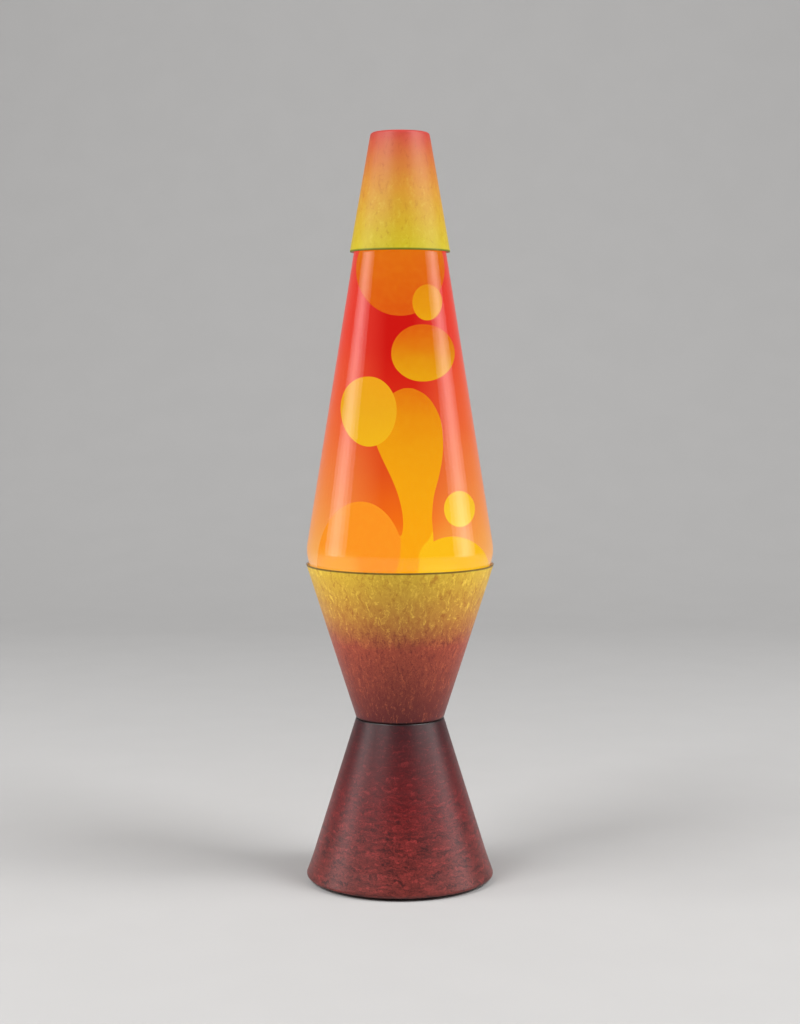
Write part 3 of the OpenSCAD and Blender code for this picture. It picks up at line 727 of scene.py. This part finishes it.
b_in = inset(bottle, G_WALL)
inner = [(0, b_in[0][1], 0)] + b_in[1:7] + [(b_in[7][0] + 0.2, b_in[7][1], 1)] + inner_outline(0.0)[1:] + [
    (cone_r(342.5) - G_WALL * t_len, 342.5, 3), (BORE, 347.2, 3), (BORE, LIP_Z - 0.4, 0)]
outer_pts = rounded(bottle)
inner_pts = rounded(inner)[::-1]
OUTER_VERTS = sum(1 if r < 1e-6 else 256 for r, z in outer_pts)
glass = lathe("globe_bottle_look", outer_pts + inner_pts, 256, sharp=50)
inside = glass.data.attributes.new("inside", "FLOAT", "POINT")
# the outline's rows run outside first, then inside
for n in range(OUTER_VERTS, len(glass.data.vertices)):
    inside.data[n].value = 1.0
stand_for(glass, "globe_bottle", "bottle", "globe_glass", M["globe_glass"])

# ---------------------------------------------------------------- liquid

LIQ0, LIQ1 = 149.3, 336.0
liq = rounded([(0, LIQ0, 0), (seat_r(LIQ0) - (THIN + 0.1) * c_len, LIQ0, 0)] + inner_outline(0.1)[2:]
              + [(cone_r(LIQ1) - (G_WALL + 0.1) * t_len, LIQ1, 0), (0, LIQ1, 0)])
liquid = lathe("liquid_look", liq, 192, sharp=50, closed=False)
stand_for(liquid, "liquid", "bottle", "liquid_red", M["liquid_red"])

# ---------------------------------------------------------------- wax


def egg(name, centre, semi, lean=0.0, pear=0.0, square=0.0, wobble=0.012, seed=0.0, segs=96, rows=64, keep=None):
    """A drop of wax. lean slants it, pear widens its upper (or lower) half, square fills out its shoulders."""
    verts = []
    for j in range(rows + 1):
        ph = -math.pi / 2 + math.pi * j / rows
        ring = 1 if j in (0, rows) else segs
        for k in range(ring):
            t = 2 * math.pi * k / segs
            d = Vector((math.cos(ph) * math.cos(t), math.cos(ph) * math.sin(t), math.sin(ph)))
            n = 1 - wobble + wobble * noise.noise(d * 1.3 + Vector((seed, 3.1, 7.7)))
            w = 1 + pear * d.z * (1 if abs(d.z) < 1 else 1)
            q = abs(math.cos(ph)) ** (1 - square) if math.cos(ph) > 1e-9 else 0
            x, y = math.cos(t) * q * w, math.sin(t) * q * w
            z = d.z
            v = Vector((x * semi[0] * n + lean * z * semi[2], y * semi[1] * n, z * semi[2] * n))
            verts.append(tuple((v + Vector(centre)) * MM))
    faces = []
    start = lambda j: 0 if j == 0 else 1 + (j - 1) * segs
    for j in range(rows):
        for k in range(segs):
            e = (k + 1) % segs
            if j == 0:
                faces.append((0, start(1) + e, start(1) + k))
            elif j == rows - 1:
                faces.append((start(j) + k, start(j) + e, start(rows)))
            else:
                faces.append((start(j) + k, start(j) + e, start(j + 1) + e, start(j + 1) + k))
    return new_piece(name, verts, faces, sharp=180)


def keep_inside(ob, gap, z_hi=None):
    """Presses the wax against the inside of the glass, never through it."""
    for v in ob.data.vertices:
        z = v.co.z / MM
        r = math.hypot(v.co.x, v.co.y) / MM
        lim = wall_r(z, gap)
        if r > lim:
            v.co.x *= lim / r
            v.co.y *= lim / r
        if z_hi is not None and z > z_hi:
            v.co.z = z_hi * MM
    ob.data.update()


dome = egg("wax_dome_look", (0.2, 4.0, 302.5), (22.0, 10.6, 23.0), square=0.06, seed=1.0)
keep_inside(dome, -1.2)
# painted glow in the dome's colour stops
stand_for(dome, "wax_dome", "bottle", "wax",
          wax("wax_dome", [(0, (224, 92, 3)), (0.45, (226, 104, 3)), (1, (228, 114, 5))], 279, 308))

# each drop's colour stops are painted glow, lighter lower down towards the bulb
blobs = {
    "a": ((13.2, -9.4, 285.7), (7.3, 6.0, 8.8), dict(pear=0.02, seed=2.0),
          [(0, (238, 172, 6)), (1, (230, 142, 3))], 277, 295),
    "b": ((11.3, -2.5, 261.4), (15.7, 14.0, 14.1), dict(pear=-0.02, square=0.05, seed=3.0),
          [(0, (234, 168, 5)), (0.35, (230, 154, 3)), (0.72, (228, 124, 2)), (1, (226, 100, 2))], 248, 275),
    "c": ((-15.3, -9.5, 232.9), (13.8, 12.6, 17.2), dict(lean=-0.02, pear=0.05, square=0.04, seed=4.0),
          [(0, (244, 190, 22)), (0.5, (240, 180, 24)), (1, (242, 172, 22))], 216, 250),
    "d": ((29.2, -6.0, 185.1), (7.7, 7.6, 8.9), dict(seed=5.0),
          [(0, (254, 214, 50)), (1, (254, 200, 36))], 176, 194),
}
for k, (c, s, how, stops, za, zb) in blobs.items():
    ob = egg("wax_blob_%s_look" % k, c, s, **how)
    stand_for(ob, "wax_blob_" + k, "blob_" + k, "wax", wax("wax_blob_" + k, stops, za, zb))

COLUMN = [(146, 3, 8, 20, 14), (154, 4.5, 9, 15, 13), (162, 7, 10, 10.2, 10), (171, 8.8, 11, 7.9, 8), (180, 8.7, 11.5, 7.4, 7.6),
          (190, 8.1, 12, 8.9, 8.6), (200, 7.4, 12, 12.1, 10), (210, 5.9, 12, 15.4, 10.8), (219, 4.4, 12, 17.1, 11),
          (228, 4.4, 12, 16, 10.6), (236, 4.2, 12, 12.6, 9), (241, 4, 12, 8.4, 6.4), (244, 4, 12, 2.6, 2.2)]


def along(t, u):
    n = len(t) - 1
    i = min(n - 1, int(u))
    f = u - i
    a, b, c, d = t[max(0, i - 1)], t[i], t[i + 1], t[min(n, i + 2)]
    return [0.5 * (2 * b[m] + (c[m] - a[m]) * f + (2 * a[m] - 5 * b[m] + 4 * c[m] - d[m]) * f * f
                   + (3 * b[m] - a[m] - 3 * c[m] + d[m]) * f ** 3) for m in range(5)]


def solid_parts():
    """The pool, its two mounds and the rising column, each as its own closed shape."""
    verts, faces = [], []
    rows, segs = 60, 48
    for j in range(rows + 1):
        z, x, y, w, d = along(COLUMN, 12 * j / rows)
        for k in range(segs):
            t = 2 * math.pi * k / segs
            verts.append(((x + w * math.cos(t)) * MM, (y + d * math.sin(t)) * MM, z * MM))
    faces.append(tuple(range(segs - 1, -1, -1)))
    for j in range(rows):
        for k in range(segs):
            e = (k + 1) % segs
            faces.append((j * segs + k, j * segs + e, (j + 1) * segs + e, (j + 1) * segs + k))
    faces.append(tuple(rows * segs + k for k in range(segs)))
    col = new_piece("wax_column_part", verts, faces)
    left = egg("wax_mound_l_part", (-19.6, 5, 157), (21.6, 19, 31), wobble=0.0)
    right = egg("wax_mound_r_part", (26.0, -8, 156), (17.8, 16, 15.7), wobble=0.0)
    edge = (THIN + 0.45) * c_len
    pts = rounded([(0, 136.2, 0), (24, 134.0, 4), (seat_r(134.2) - 3.4, 133.6, 2), (seat_r(138.5) - edge, 138.5, 3), (seat_r(149) - edge, 149, 1.0), (0, 149, 0)])
    pool = lathe("wax_pool_part", pts, 96, closed=False)
    return [col, left, right, pool]


parts = solid_parts()
bpy.ops.object.select_all(action="DESELECT")
for ob in parts:
    ob.select_set(True)
bpy.context.view_layer.objects.active = parts[-1]
bpy.ops.object.join()
pool = parts[-1]
pool.name = "wax_pool_look"
for kind, setting in (("REMESH", dict(mode="VOXEL", voxel_size=0.9 * MM)), ("SMOOTH", dict(factor=0.5, iterations=10))):
    mod = pool.modifiers.new(kind, kind)
    for a, b in setting.items():
        setattr(mod, a, b)
bpy.context.view_layer.update()
dg = bpy.context.evaluated_depsgraph_get()
me = bpy.data.meshes.new_from_object(pool.evaluated_get(dg))
pool.modifiers.clear()
pool.data = me
me.name = "wax_pool_look"
keep_inside(pool, -1.65)
me.polygons.foreach_set("use_smooth", [True] * len(me.polygons))
# painted glow: lighter low down by the bulb, with listed patches of painted glow on the two mounds and at their feet
stand_for(pool, "wax_pool", "bottle", "wax",
          wax("wax_pool", [(0, (255, 172, 4)), (0.25, (252, 172, 4)), (0.45, (248, 172, 3)), (0.68, (241, 164, 3)), (0.85, (236, 150, 2)), (1, (231, 124, 2))], 150, 245,
              patches=[(-22.5, 166, 23.6, 29, 0.94, (255, 154, 30), 1.0), (-32, 150, 16, 20, 0.2, (255, 180, 66), 0.8), (27.5, 154, 19, 23, 0.95, (255, 198, 18), 1.0),
                       (20, 150, 14, 14, 0.2, (255, 210, 34), 0.7)]))

# ---------------------------------------------------------------- bulb's rolled screw shell


def screw_shell():
    verts, faces = [], []
    segs, rows = 96, 110
    za, zb, pitch = 71.2, 90.0, 2.82
    for side in (0, 1):
        for j in range(rows + 1):
            z = za + (zb - za) * j / rows
            for k in range(segs):
                t = 2 * math.pi * k / segs
                run = min(1.0, max(0.0, (z - za - 0.8) / 1.5)) * min(1.0, max(0.0, (zb - 1.6 - z) / 1.5))
                wave = 0.5 - 0.5 * math.cos(2 * math.pi * ((z - za) / pitch - k / segs))
                r = 8.28 - 0.5 * run * wave - (0.25 if side else 0)
                if j == 0:
                    r -= 0.25
                verts.append((r * math.cos(t) * MM, r * math.sin(t) * MM, z * MM))
    n = (rows + 1) * segs
    for j in range(rows):
        for k in range(segs):
            e = (k + 1) % segs
            a, b, c, d = j * segs + k, j * segs + e, (j + 1) * segs + e, (j + 1) * segs + k
            faces.append((a, b, c, d))
            faces.append((n + d, n + c, n + b, n + a))
    for k in range(segs):
        e = (k + 1) % segs
        faces.append((rows * segs + k, rows * segs + e, n + rows * segs + e, n + rows * segs + k))
        faces.append((n + k, n + e, e, k))
    return new_piece("bulb_screw_shell_look", verts, faces, sharp=60)


shell = screw_shell()
stand_for(shell, "bulb_screw_shell", "bulb", "bulb_shell", M["bulb_shell"])

# ---------------------------------------------------------------- the CAD nodes that keep their shape

for node, mat in {
    "base_plate": "plate_black", "feet": "rubber_grey", "cord_grommet": "nylon_black", "socket_body": "porcelain",
    "socket_screw_shell": "brass", "socket_centre_contact": "brass", "terminal_screws": "brass", "ring_nut": "nut_steel",
    "lock_washer": "nut_steel", "bulb_contact": "solder", "bulb_envelope": "bulb_glass", "bulb_insulator": "vitrite",
    "bulb_stem": "stem_glass", "bulb_supports": "wire", "filament": "tungsten", "heat_coil": "coil_wire",
    "crown_cap": "crown_gold", "crown_liner": "liner",
}.items():
    dress(node, M[mat])

# ---------------------------------------------------------------- studio


def pale():
    g = Graph("studio_paper")
    n = g.noise(g.object_mm(), 0.02, 2.0, 0.5)
    b = g.principled(Base_Color=g.mix(g.remap(n, 0.3, 0.7, 0.0, 0.3), lin((182, 181, 180)), lin((178, 177, 176))), Roughness=0.85,
                     Specular_IOR_Level=0.2)
    return g.finish(b.outputs[0])


verts, faces, sweep = [], [], []
for k in range(33):
    if k < 8:
        sweep.append((-3.0 + 3.9 * k / 8, 0.0))
    elif k <= 24:
        a = math.pi / 2 * (k - 8) / 16
        sweep.append((0.9 + 0.9 * math.sin(a), 0.9 - 0.9 * math.cos(a)))
    else:
        sweep.append((1.8, 0.9 + 2.2 * (k - 24) / 8))
for y, z in sweep:
    verts += [(-4.0, y, z), (4.0, y, z)]
for k in range(32):
    faces.append((2 * k, 2 * k + 1, 2 * k + 3, 2 * k + 2))
floor = new_piece("studio_floor", verts, faces, sharp=180)
floor.data.materials.append(pale())


def soft_light(name, azimuth, height, distance, size, power, rgb=(1, 1, 1), aim=0.2):
    """An area light at an azimuth counted from the front, looking at the lamp."""
    d = bpy.data.lights.new(name, "AREA")
    d.shape = "RECTANGLE"
    d.size, d.size_y = size
    d.energy = power
    d.color = rgb
    ob = bpy.data.objects.new(name, d)
    a = math.radians(azimuth)
    ob.location = (distance * math.sin(a), -distance * math.cos(a), height)
    ob.rotation_mode = "QUATERNION"
    ob.rotation_quaternion = (Vector((0, 0, aim)) - ob.location).to_track_quat("-Z", "Y")
    scene.collection.objects.link(ob)
    return ob


# two tall soft boxes at the sides, brightest along their middle, and a large high one behind each shoulder of the camera
for side in (-1, 1):
    for k, width in enumerate((0.80, 0.52, 0.26)):
        soft_light("side_%d_%d" % (side + 1, k), side * 85, 0.62, 1.18 + 0.02 * k, (width, 1.5), 5.6 * width / 0.8 * 0.84)
soft_light("high_left", -50, 1.64, 1.6, (1.0, 1.0), 36)
soft_light("high_right", 62, 1.64, 1.6, (1.0, 1.0), 36)

world = bpy.data.worlds.new("studio")
world.use_nodes = True
world.node_tree.nodes["Background"].inputs[0].default_value = (0.80, 0.80, 0.82, 1)
world.node_tree.nodes["Background"].inputs[1].default_value = 0.16
scene.world = world
